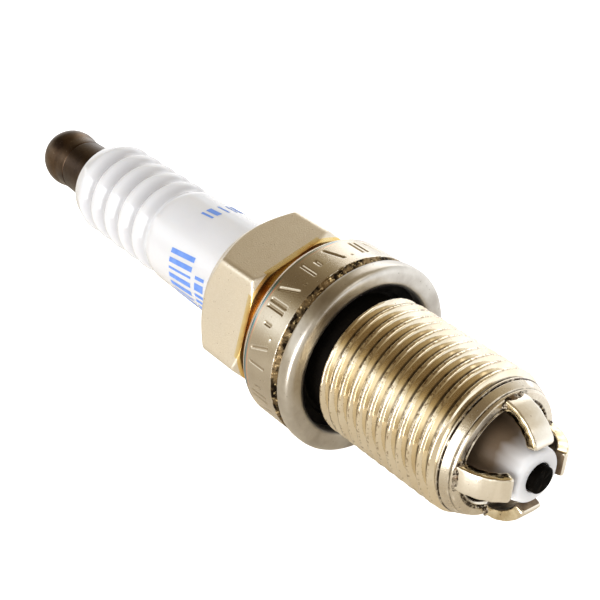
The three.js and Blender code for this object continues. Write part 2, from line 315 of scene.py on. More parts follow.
def metal(name, look):
    # one metal finish from its settings; every value has its own meaning in the dictionary
    m, t, shader = startMaterial(name, look.get("metallic", 1.0), 0.4)
    grain = useGroup(t, grainGroup, {"Grain Size": look["grainSize"], "Patch Size": look["patchSize"],
                                     "Patch Contrast": look.get("patchContrast", 1.0)})
    lines = useGroup(t, turnedGroup, {"Line Width": look["lineWidth"]})
    specks = useGroup(t, speckGroup, {"Size": look["speckSize"], "Coverage": look["speckCover"],
                                      "Softness": look.get("speckSoft", 0.06)})
    wearAndShade = useGroup(t, edgeGroup, {"Strength": look.get("wearStrength", 6.0)})
    color = mixColor(t, grain.outputs["Patches"], look["light"], look["dark"])
    if "grit" in look:
        gritMask = times(t, grain.outputs["Grain"], look.get("gritAmount", 0.6), True)
        color = mixColor(t, gritMask, color, look["grit"])
    # painted shade: darkens the recesses, by default towards the dark tone
    color = mixColor(t, times(t, wearAndShade.outputs["Hollows"], look.get("recessShadeAmount", 0.5)),
                     color, look.get("recessShade", look["dark"]))
    color = mixColor(t, times(t, wearAndShade.outputs["Edges"], look.get("edgeAmount", 0.5)),
                     color, look.get("edge", look["light"]))
    color = mixColor(t, times(t, specks.outputs["Mask"], look.get("speckAmount", 0.7)),
                     color, look["speck"])
    t.links.new(color, shader.inputs["Base Color"])
    low, high = look["rough"]
    rough = remap(t, grain.outputs["Patches"], 0.0, 1.0, low, high)
    rougher = compute(t, "ADD", rough, times(t, specks.outputs["Mask"], 0.25), True)
    t.links.new(rougher, shader.inputs["Roughness"])
    height = compute(t, "ADD", times(t, grain.outputs["Grain"], look["grainHeight"]),
                   times(t, lines.outputs["Lines"], look["lineHeight"]))
    height = compute(t, "SUBTRACT", height, times(t, specks.outputs["Mask"], look.get("speckDepth", 0.3)))
    bumpFrom(t, shader, height, 0.00002)
    return m, t, shader, color


def recolor(t, shader, mask, color, other):
    mixed = mixColor(t, mask, color, other)
    t.links.new(mixed, shader.inputs["Base Color"])
    return mixed


def between(t, value, low, high, soft):
    # 1 inside low..high, fading over soft at both ends
    rise = remap(t, value, low - soft, low + soft)
    fall = remap(t, value, high + soft, high - soft)
    return times(t, rise, fall)


def hexNickel():
    look = {"light": (1.0, 0.96, 0.88), "dark": (0.91, 0.85, 0.74), "grit": (0.50, 0.43, 0.32),
            "gritAmount": 0.34, "speck": (0.30, 0.22, 0.13), "speckAmount": 0.5, "speckSize": 0.35,
            "speckCover": 0.18, "edge": (1.0, 0.98, 0.93), "edgeAmount": 0.95, "wearStrength": 16.0,
            "grainSize": 0.16, "patchSize": 3.0, "lineWidth": 0.2, "grainHeight": 1.3, "lineHeight": 0.15,
            "rough": (0.36, 0.46)}
    return metal("hexNickel", look)[0]


def collarNickel():
    # the recess colour here is painted shade
    look = {"light": (0.70, 0.66, 0.58), "dark": (0.56, 0.51, 0.43), "grit": (0.42, 0.36, 0.28),
            "gritAmount": 0.4, "speck": (0.26, 0.19, 0.12), "speckAmount": 0.6, "speckSize": 0.3,
            "speckCover": 0.16, "edge": (0.96, 0.94, 0.9), "edgeAmount": 0.7,
            "recessShade": (0.34, 0.27, 0.18), "recessShadeAmount": 0.6, "wearStrength": 12.0, "grainSize": 0.14,
            "patchSize": 5.0, "lineWidth": 0.12, "grainHeight": 0.4, "lineHeight": 0.2,
            "rough": (0.20, 0.28)}
    m, t, shader, color = metal("collarNickel", look)
    axis = useGroup(t, axisGroup)
    # painted shade: the stamped strokes are darkened to brown where they are cut deepest
    inZone = between(t, axis.outputs["Along"], marks["low"] - 0.1, marks["high"] + 0.1, 0.05)
    deep = remap(t, axis.outputs["Radius"], collar["radius"] - marks["depth"] * 0.35,
                 collar["radius"] - marks["depth"] * 0.75)
    cut = times(t, times(t, inZone, deep), 0.55)
    color = recolor(t, shader, cut, color, (0.33, 0.26, 0.17))
    rim = remap(t, axis.outputs["Along"], 3.98, 4.62)
    ramp = wire(t, "ShaderNodeValToRGB", {0: rim})
    paintRamp(ramp, [(0.0, (0.75, 0.7, 0.6)), (0.3, (0.8, 0.62, 0.4)), (0.5, (0.7, 0.3, 0.34)),
                     (0.68, (0.2, 0.5, 0.42)), (0.85, (0.14, 0.22, 0.4)), (1.0, (0.05, 0.05, 0.07))])
    wander = wire(t, "ShaderNodeTexNoise", {"Vector": axis.outputs["Wrap"], "Scale": 0.22, "Detail": 2.0})
    there = remap(t, wander.outputs[0], 0.45, 0.56)
    tint = times(t, times(t, between(t, rim, 0.22, 1.4, 0.12), there), 0.95)
    recolor(t, shader, tint, color, ramp.outputs[0])
    return m


def bevelNickel():
    # the bright far edge of the collar, with a faint rainbow from the heat beside it
    look = {"light": (0.95, 0.93, 0.88), "dark": (0.82, 0.78, 0.7), "speck": (0.4, 0.32, 0.22),
            "speckAmount": 0.4, "speckSize": 0.3, "speckCover": 0.12, "grainSize": 0.12, "patchSize": 3.0,
            "lineWidth": 0.1, "grainHeight": 0.3, "lineHeight": 0.3, "rough": (0.14, 0.24)}
    m, t, shader, color = metal("bevelNickel", look)
    axis = useGroup(t, axisGroup)
    along = remap(t, axis.outputs["Along"], 4.6, 5.42)
    ramp = wire(t, "ShaderNodeValToRGB", {0: along})
    paintRamp(ramp, [(0.0, (0.5, 0.42, 0.4)), (0.3, (0.6, 0.5, 0.42)), (0.5, (0.5, 0.26, 0.2)),
                     (0.68, (0.26, 0.14, 0.26)), (0.84, (0.1, 0.2, 0.28)), (1.0, (0.03, 0.03, 0.05))])
    wander = wire(t, "ShaderNodeTexNoise", {"Vector": axis.outputs["Wrap"], "Scale": 0.22, "Detail": 2.0})
    there = remap(t, wander.outputs[0], 0.42, 0.56, 0.35, 0.9)
    recolor(t, shader, times(t, between(t, along, 0.2, 1.3, 0.15), there), color, ramp.outputs[0])
    return m


def paintRamp(ramp, stops):
    elements = ramp.color_ramp.elements
    while len(elements) > 1:
        elements.remove(elements[-1])
    elements[0].position, elements[0].color = stops[0][0], (*stops[0][1], 1.0)
    for position, color in stops[1:]:
        e = elements.new(position)
        e.color = (*color, 1.0)


def heatTint():
    # straw, orange, red-brown and blue-black oxide left in the groove when the shell is closed
    look = {"light": (0.85, 0.7, 0.45), "dark": (0.7, 0.5, 0.25), "speck": (0.1, 0.06, 0.04),
            "speckAmount": 0.5, "speckSize": 0.3, "speckCover": 0.2, "grainSize": 0.15, "patchSize": 2.0,
            "lineWidth": 0.15, "grainHeight": 0.4, "lineHeight": 0.4, "rough": (0.22, 0.34)}
    m, t, shader, color = metal("heatTint", look)
    axis = useGroup(t, axisGroup)
    wander = wire(t, "ShaderNodeTexNoise", {"Vector": axis.outputs["Wrap"], "Scale": 0.35, "Detail": 3.0})
    shift = times(t, compute(t, "SUBTRACT", wander.outputs[0], 0.5), 1.6)
    shifted = compute(t, "ADD", axis.outputs["Along"], shift)
    along = remap(t, shifted, 5.3, 8.0)
    ramp = wire(t, "ShaderNodeValToRGB", {0: along})
    paintRamp(ramp, [(0.0, (0.01, 0.015, 0.03)), (0.16, (0.03, 0.012, 0.012)), (0.27, (0.14, 0.04, 0.015)),
                     (0.40, (0.52, 0.22, 0.04)), (0.52, (0.88, 0.64, 0.24)), (0.68, (0.95, 0.84, 0.52)),
                     (1.0, (0.92, 0.87, 0.72))])
    recolor(t, shader, 0.88, color, ramp.outputs[0])
    return m


def roughBand():
    # the gold specks are painted glints on the near-black band
    look = {"light": (0.40, 0.29, 0.16), "dark": (0.012, 0.008, 0.005), "grit": (0.02, 0.013, 0.008),
            "gritAmount": 0.6, "speck": (0.95, 0.78, 0.46), "speckAmount": 0.85, "speckSize": 0.42,
            "speckCover": 0.32, "speckDepth": -0.5, "grainSize": 0.2, "patchSize": 1.1,
            "patchContrast": 2.6, "lineWidth": 0.2, "grainHeight": 1.6, "lineHeight": 0.3,
            "rough": (0.3, 0.5)}
    return metal("roughBand", look)[0]


def threadNickel():
    look = {"light": (0.93, 0.87, 0.74), "dark": (0.80, 0.70, 0.52), "speck": (0.25, 0.14, 0.05),
            "speckAmount": 0.8, "speckSize": 0.22, "speckCover": 0.13, "speckSoft": 0.04,
            "edge": (1.0, 0.97, 0.9), "edgeAmount": 0.3, "grainSize": 0.3, "patchSize": 3.5,
            "lineWidth": 0.2, "grainHeight": 0.06, "lineHeight": 0.05, "rough": (0.08, 0.14)}
    m, t, shader, color = metal("threadNickel", look)
    axis = useGroup(t, axisGroup)
    # painted shade: the thread roots are darkened to near black, mottled
    rootMask = remap(t, axis.outputs["Radius"], thread["minor"] + 0.19, thread["minor"] + 0.07)
    rootShadeMottle = useGroup(t, speckGroup, {"Size": 0.5, "Coverage": 0.65, "Softness": 0.25})
    rootShade = times(t, rootMask, compute(t, "ADD", times(t, rootShadeMottle.outputs[0], 0.2), 0.78), True)
    color = recolor(t, shader, rootShade, color, (0.03, 0.017, 0.008))
    crestMask = remap(t, axis.outputs["Radius"], thread["major"] - 0.12, thread["major"] - 0.02)
    rust = useGroup(t, speckGroup, {"Size": 0.3, "Coverage": 0.46, "Softness": 0.06})
    recolor(t, shader, times(t, times(t, crestMask, rust.outputs[0]), 0.65),
            color, (0.22, 0.13, 0.06))
    return m


def endNickel():
    # the recess colour here is near-black painted shade
    look = {"light": (0.86, 0.82, 0.73), "dark": (0.68, 0.61, 0.5), "grit": (0.4, 0.33, 0.24),
            "gritAmount": 0.35, "speck": (0.16, 0.10, 0.06), "speckAmount": 0.7, "speckSize": 0.3,
            "speckCover": 0.2, "edge": (1.0, 0.97, 0.92), "edgeAmount": 0.8, "wearStrength": 10.0,
            "grainSize": 0.18, "patchSize": 2.5, "recessShade": (0.05, 0.03, 0.015), "recessShadeAmount": 1.0,
            "lineWidth": 0.1, "grainHeight": 0.5, "lineHeight": 0.3, "rough": (0.18, 0.32)}
    m, t, shader, color = metal("endNickel", look)
    axis = useGroup(t, axisGroup)
    radius, along = axis.outputs["Radius"], axis.outputs["Along"]
    # painted shade: the bore's edge and the two grooves are darkened, mottled
    grooveShadeMottle = useGroup(t, speckGroup, {"Size": 0.5, "Coverage": 0.86, "Softness": 0.2})
    inner = times(t, between(t, radius, 4.9, 5.26, 0.05), between(t, along, -20, -18.7, 0.05))
    outer = between(t, along, -17.84, -17.66, 0.04)
    rim = times(t, between(t, along, -18.68, -18.6, 0.03), 0.8)
    dark = compute(t, "ADD", times(t, compute(t, "ADD", inner, outer), grooveShadeMottle.outputs[0]),
                 times(t, rim, grooveShadeMottle.outputs[0]), True)
    recolor(t, shader, dark, color, (0.035, 0.02, 0.01))
    return m


def boreSoot():
    look = {"light": (0.21, 0.142, 0.083), "dark": (0.075, 0.049, 0.03), "grit": (0.02, 0.014, 0.01),
            "gritAmount": 0.6, "speck": (0.45, 0.375, 0.27), "speckAmount": 0.4, "speckSize": 0.3,
            "speckCover": 0.22, "grainSize": 0.2, "patchSize": 1.8, "lineWidth": 0.12, "grainHeight": 1.0,
            "lineHeight": 0.6, "rough": (0.4, 0.6)}
    return metal("boreSoot", look)[0]


def neckShadow():
    # painted shadow: near-black colour on the neck and inside the sealing ring
    look = {"metallic": 0.0, "light": (0.012, 0.009, 0.006), "dark": (0.004, 0.003, 0.002),
            "grit": (0.002, 0.0015, 0.001), "speck": (0.04, 0.032, 0.022), "speckAmount": 0.4,
            "speckSize": 0.3, "speckCover": 0.2, "grainSize": 0.2, "patchSize": 1.8, "lineWidth": 0.12,
            "grainHeight": 0.8, "lineHeight": 0.5, "rough": (0.6, 0.8)}
    m, _, shader, _ = metal("neckShadow", look)
    shader.inputs["Specular IOR Level"].default_value = 0.1
    return m


def gasketSteel():
    look = {"light": (0.70, 0.68, 0.64), "dark": (0.47, 0.44, 0.40), "grit": (0.5, 0.47, 0.41),
            "gritAmount": 0.3, "speck": (0.22, 0.19, 0.16), "speckAmount": 0.65, "speckSize": 0.4,
            "speckCover": 0.17, "edge": (1.0, 0.99, 0.97), "edgeAmount": 0.3, "grainSize": 0.22,
            "patchSize": 3.0, "patchContrast": 1.3, "lineWidth": 0.15, "grainHeight": 0.35,
            "lineHeight": 0.1, "rough": (0.26, 0.38)}
    m, t, shader, color = metal("gasketSteel", look)
    axis = useGroup(t, axisGroup)
    # painted shadow: the inside of the ring goes near black, dull and non-metal
    inside = remap(t, axis.outputs["Radius"], 7.62, 7.40)
    smudge = useGroup(t, speckGroup, {"Size": 2.6, "Coverage": 0.42, "Softness": 0.22})
    color = recolor(t, shader, times(t, smudge.outputs[0], 0.55), color, (0.34, 0.31, 0.28))
    recolor(t, shader, times(t, inside, 0.96), color, (0.012, 0.009, 0.007))
    t.links.new(compute(t, "SUBTRACT", 1.0, inside), shader.inputs["Metallic"])
    t.links.new(compute(t, "ADD", times(t, inside, 0.5), 0.3), shader.inputs["Roughness"])
    return m


def gunMetal():
    look = {"light": (0.20, 0.135, 0.085), "dark": (0.045, 0.028, 0.021), "grit": (0.02, 0.015, 0.012),
            "gritAmount": 0.4, "speck": (0.33, 0.27, 0.22), "speckAmount": 0.4, "speckSize": 0.4,
            "speckCover": 0.2, "edge": (0.36, 0.3, 0.25), "edgeAmount": 0.5, "grainSize": 0.16,
            "patchSize": 2.6, "lineWidth": 0.1, "grainHeight": 0.5, "lineHeight": 0.5,
            "rough": (0.26, 0.4)}
    m, t, shader, color = metal("gunMetal", look)
    along = useGroup(t, axisGroup).outputs["Along"]
    skirt = remap(t, along, 49.5, 47.6, 0.0, 0.6)
    recolor(t, shader, skirt, color, (0.035, 0.022, 0.018))
    return m


def studSteel():
    look = {"light": (0.62, 0.58, 0.52), "dark": (0.42, 0.38, 0.33), "speck": (0.12, 0.09, 0.07),
            "speckAmount": 0.6, "speckSize": 0.3, "speckCover": 0.25, "grainSize": 0.12, "patchSize": 2.0,
            "lineWidth": 0.08, "grainHeight": 0.4, "lineHeight": 0.5, "rough": (0.3, 0.42)}
    return metal("studSteel", look)[0]


def groundAlloy():
    look = {"light": (0.97, 0.94, 0.87), "dark": (0.83, 0.78, 0.68), "grit": (0.5, 0.42, 0.3),
            "gritAmount": 0.2, "speck": (0.2, 0.13, 0.07), "speckAmount": 0.6, "speckSize": 0.35,
            "speckCover": 0.14, "edge": (1.0, 0.96, 0.88), "edgeAmount": 0.6, "wearStrength": 8.0,
            "grainSize": 0.2, "patchSize": 1.8, "lineWidth": 0.3, "grainHeight": 0.6, "lineHeight": 0.05,
            "rough": (0.26, 0.4)}
    return metal("groundAlloy", look)[0]


def shearedEdgeSheen():
    # the sides of the arms, polished by the shear, with a painted golden highlight and dark drag marks
    look = {"light": (0.90, 0.82, 0.62), "dark": (0.60, 0.49, 0.30), "speck": (0.03, 0.02, 0.012),
            "speckAmount": 0.8, "speckSize": 0.6, "speckCover": 0.2, "edge": (1.0, 0.95, 0.8),
            "edgeAmount": 0.8, "grainSize": 0.2, "patchSize": 1.2, "patchContrast": 1.5, "lineWidth": 0.2,
            "grainHeight": 0.25, "lineHeight": 0.1, "rough": (0.08, 0.18)}
    return metal("shearedEdgeSheen", look)[0]


def weldNickel():
    look = {"light": (0.84, 0.79, 0.69), "dark": (0.22, 0.15, 0.09), "grit": (0.06, 0.04, 0.025),
            "gritAmount": 0.6, "speck": (0.03, 0.02, 0.012), "speckAmount": 0.95, "speckSize": 0.42,
            "speckCover": 0.52, "grainSize": 0.2, "patchSize": 0.9, "patchContrast": 1.6,
            "lineWidth": 0.3, "grainHeight": 1.6, "lineHeight": 0.05, "rough": (0.28, 0.5)}
    return metal("weldNickel", look)[0]


def blackElectrode():
    look = {"metallic": 0.0, "light": (0.003, 0.0022, 0.0016), "dark": (0.001, 0.0008, 0.0006),
            "speck": (0.05, 0.034, 0.018), "speckAmount": 0.5, "speckSize": 0.25, "speckCover": 0.2,
            "edge": (0.03, 0.024, 0.018), "edgeAmount": 0.3, "grainSize": 0.14, "patchSize": 0.9,
            "lineWidth": 0.1, "grainHeight": 1.2, "lineHeight": 0.3, "rough": (0.55, 0.75)}
    m, _, shader, _ = metal("blackElectrode", look)
    shader.inputs["Specular IOR Level"].default_value = 0.02
    return m


def plainMetal(name, light, dark, rough):
    look = {"light": light, "dark": dark, "speck": dark, "speckSize": 0.3, "speckCover": 0.2,
            "grainSize": 0.15, "patchSize": 1.5, "lineWidth": 0.1, "grainHeight": 0.5, "lineHeight": 0.4,
            "rough": rough}
    return metal(name, look)[0]


def powder(name, light, dark, size, rough):
    # pressed powders and fused fills hidden inside the plug
    m, t, shader = startMaterial(name, 0.0, rough)
    grain = useGroup(t, grainGroup, {"Grain Size": size, "Patch Size": size * 8})
    mixMask = times(t, compute(t, "ADD", grain.outputs["Grain"], grain.outputs["Patches"]), 0.5)
    t.links.new(mixColor(t, mixMask, light, dark), shader.inputs["Base Color"])
    bumpFrom(t, shader, grain.outputs["Grain"], 0.00004)
    return m


def glazedCeramic():
    look = {"white": (0.86, 0.86, 0.875), "coolToneAndShade": (0.74, 0.745, 0.775), "valley": (0.50, 0.495, 0.52),
            "bare": (0.93, 0.925, 0.93), "sootAndShade": (0.16, 0.10, 0.05), "fleck": (0.35, 0.31, 0.27)}
    m, t, shader = startMaterial("glazedCeramic", 0.0, 0.12)
    shader.inputs["Coat Roughness"].default_value = 0.05
    shader.inputs["Subsurface Radius"].default_value = (1.0, 0.9, 0.8)
    shader.inputs["Subsurface Scale"].default_value = 0.0012
    shader.inputs["Subsurface Weight"].default_value = 0.25
    axis = useGroup(t, axisGroup)
    along = axis.outputs["Along"]
    grain = useGroup(t, grainGroup, {"Grain Size": 0.5, "Patch Size": 6.0})
    wearAndShade = useGroup(t, edgeGroup, {"Strength": 9.0})
    color = mixColor(t, times(t, grain.outputs["Patches"], 0.35), look["white"], look["coolToneAndShade"])
    # painted shade: the recesses take the cool tone
    color = mixColor(t, times(t, wearAndShade.outputs["Hollows"], 0.8), color, look["coolToneAndShade"])
    s = insulator
    # painted shade: the rib valleys are darkened towards the valley colour
    turn = times(t, compute(t, "SUBTRACT", along, s["firstRib"]), 2 * math.pi / s["pitch"])
    valley = remap(t, compute(t, "COSINE", turn), 0.55, -1.0)
    ribbed = between(t, along, s["firstRib"] - (s["ribs"] - 0.5) * s["pitch"], s["firstRib"], 0.6)
    color = mixColor(t, times(t, times(t, valley, ribbed), 0.62), color, look["valley"])
    nose = remap(t, along, -9.0, -11.0)
    color = mixColor(t, nose, color, look["bare"])
    # soot and painted shade together: the nose turns brown-black deep in the bore
    wander = wire(t, "ShaderNodeTexNoise", {"Vector": axis.outputs["Wrap"], "Scale": 0.2, "Detail": 2.0})
    shifted = compute(t, "ADD", along, times(t, compute(t, "SUBTRACT", wander.outputs[0], 0.5), 2.4))
    sootAndShadeFade = remap(t, shifted, -22.4, -19.7)
    inNose = remap(t, along, 1.0, -3.0)
    color = mixColor(t, times(t, times(t, sootAndShadeFade, inNose), 0.97), color, look["sootAndShade"])
    flecks = useGroup(t, speckGroup, {"Size": 1.1, "Coverage": 0.045, "Softness": 0.03})
    color = mixColor(t, times(t, flecks.outputs[0], 0.5), color, look["fleck"])
    t.links.new(color, shader.inputs["Base Color"])
    glaze = remap(t, along, 9.0, 12.0)
    roughness = remap(t, glaze, 0.0, 1.0, 0.42, 0.1)
    t.links.new(roughness, shader.inputs["Roughness"])
    t.links.new(times(t, glaze, 0.8), shader.inputs["Coat Weight"])
    bumpFrom(t, shader, grain.outputs["Patches"], 0.00002, 0.6)
    return m


def blueInk():
    look = {"ink": (0.10, 0.25, 0.78), "thin": (0.24, 0.42, 0.90)}
    m, t, shader = startMaterial("blueInk", 0.0, 0.5)
    shader.inputs["Coat Roughness"].default_value = 0.06
    grain = useGroup(t, grainGroup, {"Grain Size": 0.15, "Patch Size": 0.8})
    mask = compute(t, "ADD", times(t, grain.outputs["Patches"], 0.5),
                 times(t, grain.outputs["Grain"], 0.35), True)
    t.links.new(mixColor(t, mask, look["ink"], look["thin"]), shader.inputs["Base Color"])
    bumpFrom(t, shader, grain.outputs["Grain"], 0.00001)
    return m


collar = {"radius": 9.4, "top": 5.4, "band": 0.65, "rows": 0.1, "segments": 720}
marks = {"low": 1.75, "high": 3.85, "depth": 0.10, "stroke": 0.13, "soft": 0.07}
thread = {"major": 6.925, "minor": 6.2, "pitch": 1.25, "turns": 12, "start": -2.5, "segments": 168,
          "bite": 0.012}
insulator = {"end": 43.0, "ribs": 5, "pitch": 2.7, "firstRib": 40.6, "crest": 5.2, "valley": 4.6,
             "barrel": 5.4, "noseTip": -22.8, "noseRadius": 2.55, "root": 4.05}


# painted shadow shared by the neck, the collar's underside and the ring's inside
neckShade = neckShadow()


def buildHex():
    size = {"acrossFlats": 16.0, "bottom": 6.6, "top": 13.4, "edgeTop": 11.9, "edgeBottom": 7.3,
            "bottomCircle": 8.35, "topCircle": 7.9, "ridge": 0.42, "chamferBlend": 0.16}
    half = size["acrossFlats"] / 2
    cornerR = half / math.cos(math.pi / 6)

    def shape(r, y, a):
        if y < size["bottom"] - 0.01 or y > size["top"] + 0.01:
            return r, y
        nearest = (a + math.pi / 6) % (math.pi / 3) - math.pi / 6  # 0 on a corner
        one = half / math.cos(nearest - math.pi / 6)
        two = half / math.cos(nearest + math.pi / 6)
        return smoothMin(smoothMin(one, two, size["ridge"]), r, size["chamferBlend"]), y

    out = cornerR + 0.45
    profile = corner([
        (7.3, 5.9, 0), (7.6, 6.2, 0.1), (7.62, size["bottom"], 0),
        (size["bottomCircle"], size["bottom"], 0.12), (cornerR, size["edgeBottom"], 0),
        (out, size["edgeBottom"] + 0.35, 0), (out, size["edgeTop"] - 0.5, 0), (cornerR, size["edgeTop"], 0),
        (size["topCircle"], size["top"], 0.12), (7.45, size["top"] + 0.05, 0.1),
        (7.35, 14.1, 0.4), (6.75, 14.75, 0.35), (6.1, 14.9, 0.25), (5.62, 14.55, 0.1), (5.6, 13.7, 0)], 5)

    def pick(r, y):
        # the heat tint covers the underside and the foot of the bottom chamfer
        return 1 if y < size["bottom"] + 0.02 or (y < size["edgeBottom"] and r < 8.6) else 0

    hexagon = spin("shellHexagon", refine(profile, 0.14), 360, shape, pick=pick,
                   materials=[hexNickel(), heatTint()])
    return place(hexagon, body, "nickel_plate", "shell")


def tallyStrokes():
    # a plain row of stamped slants, bars and dots, as (angle at the foot, angle at the head, low, high)
    strokes = []
    low, high = marks["low"], marks["high"]
    angle = 48.0
    for kind in "/=./-|./=-./|.-=/.|-/.":
        if kind == "/":
            strokes.append((angle, angle + 4.5, low, high))
        elif kind == "|":
            strokes.append((angle + 1.5, angle + 1.5, low, high))
        elif kind == "=":
            strokes.append((angle, angle, low, high))
            strokes.append((angle + 3.8, angle + 3.8, low, high))
        elif kind == "-":
            strokes.append((angle + 2, angle + 2, low + 0.6, high - 0.6))
        else:
            strokes.append((angle + 1, angle + 1, low, low + 0.1))
        angle += {"=": 11.0, "/": 11.5, "|": 8.0, "-": 7.5, ".": 6.5}[kind]
    return strokes


def buildCollar():
    strokes = tallyStrokes()
    radius = collar["radius"]

    lumps = [random.gauss(0, 1) for _ in range(collar["segments"])]

    def lump(a, row):
        spot = a / (2 * math.pi) * collar["segments"] / 5 + row * 37
        k = int(spot)
        t = smoothStep(0, 1, spot - k)
        return lumps[k % len(lumps)] * (1 - t) + lumps[(k + 1) % len(lumps)] * t

    def shape(r, y, a):
        if y < collar["band"] + 0.12 and r > radius - 0.8:
            rough = smoothStep(collar["band"] + 0.12, collar["band"] - 0.12, y) * smoothStep(-0.05, 0.1, y)
            push = lump(a, int(y * 9)) * 0.035 * rough
            return r - abs(push) * 1.2, y + push
        if y < marks["low"] - 0.3 or y > marks["high"] + 0.3 or r < radius - 0.1:
            return r, y
        cut = 0.0
        for foot, head, low, high in strokes:
            t = max(0.0, min(1.0, (y - low) / (high - low)))
            gap = abs((math.degrees(a) - foot - (head - foot) * t + 180) % 360 - 180)
            if gap > 4:
                continue
            side = abs(math.radians(gap) * radius) - marks["stroke"]
            end = max(low - y, y - high)
            cut = max(cut, 1 - smoothStep(-marks["soft"], marks["soft"], max(side, end)))
        return r - cut * marks["depth"], y

    profile = corner([
        (6.0, -0.6, 0), (6.0, 0.0, 0.15), (radius - 0.65, 0.0, 0.12), (radius, collar["band"], 0.14),
        (radius, collar["top"] - 0.75, 0.12), (radius - 0.22, collar["top"] - 0.36, 0.12),
        (radius - 0.78, collar["top"], 0.16), (7.75, collar["top"] + 0.02, 0.2),
        (7.6, collar["top"] + 0.4, 0.2), (7.58, 6.5, 0), (7.2, 6.65, 0)], 5)
    rows = [profile[0]]
    for low, high in zip(profile, profile[1:]):
        outer = min(low.x, high.x) > radius - 0.8
        rows += refine([low, high], collar["rows"] if outer else 0.5)[1:]

    def pick(r, y):
        if r > 8.1 and y < collar["band"] + 0.02:
            return 2
        if y > collar["top"] - 0.78 and r > 8.1:
            return 1
        # the collar's underside takes the painted shadow
        if r < 8.1 and y < 0.4:
            return 4
        return 3 if y > collar["top"] - 0.2 else 0

    piece = spin("shellCollar", rows, collar["segments"], shape, pick=pick,
                 materials=[collarNickel(), bevelNickel(), roughBand(), heatTint(), neckShade])
    return place(piece, body, "nickel_plate", "shell")


def threadHeight(t):
    # thread form over one pitch, 0 at the root and 1 at the crest
    rise = smoothStep(0.10, 0.56, t) * 0.35 + max(0, min(1, (t - 0.16) / 0.34)) * 0.65
    fall = smoothStep(1.10, 0.64, t) * 0.35 + max(0, min(1, (1.04 - t) / 0.34)) * 0.65
    return max(0.0, min(rise, fall))


def buildThread():
    steps = 16
    low = thread["start"] - thread["turns"] * thread["pitch"]
    rows = (thread["turns"] + 1) * steps
    verts = []
    segments = thread["segments"]
    dents = [[random.gauss(0, 1) for _ in range(segments)] for _ in range(thread["turns"] + 2)]
    for i in range(rows + 1):
        t = (i % steps) / steps
        for k in range(segments + 1):
            u = k / segments
            y = low + (i / steps - 1 + u) * thread["pitch"]
            y = max(low, min(thread["start"], y))
            fade = min(1.0, (y - low) / 0.5, (thread["start"] - y) / 0.5)
            h = threadHeight(t) * max(0.0, fade)
            bite = thread["bite"] * dents[i // steps][k % segments] * smoothStep(0.75, 1.0, h)
            r = thread["minor"] + (thread["major"] - thread["minor"]) * h - abs(bite)
            a = 2 * math.pi * u
            verts.append((r * math.sin(a) * mm, y * mm, r * math.cos(a) * mm))
    faces = []
    across = segments + 1
    for i in range(rows):
        for k in range(segments):
            a, b = i * across + k, i * across + k + 1
            faces.append((a, b, b + across, a + across))
    piece = makeObject("shellThread", verts, faces, [threadNickel()], sharp=60)
    return place(piece, body, "nickel_plate", "shell")


def buildShellEnd():
    size = {"face": -19.0, "rim": 6.0, "bore": 4.65, "start": -17.3, "burr": 0.035}
    lumps = [(random.random() * 6.283, random.uniform(2, 9), random.random()) for _ in range(7)]

    def shape(r, y, a):
        push = sum(math.sin(a * round(f) + p) * w for p, f, w in lumps) / 7
        near = smoothStep(size["face"] + 1.2, size["face"] + 0.1, y)
        return r + push * size["burr"] * near, y + push * size["burr"] * 0.5 * near

    profile = corner([
        (6.12, -16.9, 0), (6.2, -17.3, 0.05), (6.5, -17.52, 0.06), (6.5, -17.66, 0.06), (6.3, -17.74, 0.04),
        (6.42, -17.86, 0.05), (size["rim"] + 0.12, -18.56, 0.06), (size["rim"] - 0.04, -18.62, 0.03),
        (size["rim"] + 0.02, -18.74, 0.05), (size["rim"] - 0.1, size["face"], 0.12),
        (size["bore"] + 0.5, size["face"], 0.03), (size["bore"] + 0.42, size["face"] + 0.14, 0.04),
        (size["bore"] + 0.28, size["face"] + 0.1, 0.04), (size["bore"] + 0.2, size["face"] - 0.02, 0.06),
        (size["bore"], size["face"] + 0.2, 0.12), (size["bore"], -6.0, 0), (4.4, -1.2, 0)], 5)
    piece = spin("shellEnd", refine(profile, 0.35), 180, shape, materials=[endNickel(), boreSoot()],
                 pick=lambda r, y: 1 if r < size["bore"] + 0.03 else 0)
    return place(piece, body, "nickel_plate", "shell")


def buildNeck():
    # the relieved neck under the ring, dull, coloured with the painted shadow
    profile = corner([(6.0, 0.1, 0), (5.98, -0.3, 0.05), (5.98, -2.2, 0.15), (6.2, -2.62, 0)], 4)
    piece = spin("shellNeck", refine(profile, 0.3), 160, materials=[neckShade])
    return place(piece, body, "nickel_plate", "shell")


buildHex()
buildCollar()
buildThread()
buildShellEnd()
buildNeck()
print("shell ready")


def buildGasket():
    size = {"outside": 9.55, "inside": 7.45, "thick": 1.9, "round": 0.72, "lip": 6.5, "wave": 0.03}
    top, low = -0.05, -0.05 - size["thick"]

    def shape(r, y, a):
        wave = math.sin(a * 3 + 0.7) * 0.6 + math.sin(a * 7 + 2.0) * 0.4
        weight = smoothStep(7.0, 9.0, r)
        return r + wave * size["wave"] * weight * 0.35, y + wave * size["wave"] * weight

    profile = corner([
        (size["lip"], top, 0.05), (size["outside"], top, size["round"]),
        (size["outside"], low, size["round"]), (size["inside"], low, size["round"]),
        (size["inside"], top - 0.5, 0.1), (size["lip"], top - 0.35, 0.05), (size["lip"], top, 0.05)], 8)
    # the inside face of the ring takes the painted shadow
    piece = spin("sealingRing", refine(profile[:-1], 0.3), 200, shape, closed=True,
                 materials=[gasketSteel(), neckShade],
                 pick=lambda r, y: 1 if r < size["inside"] - 0.02 else 0)
    return place(piece, ring, "gasket_steel", "gasket")


buildGasket()
print("sealing ring ready")


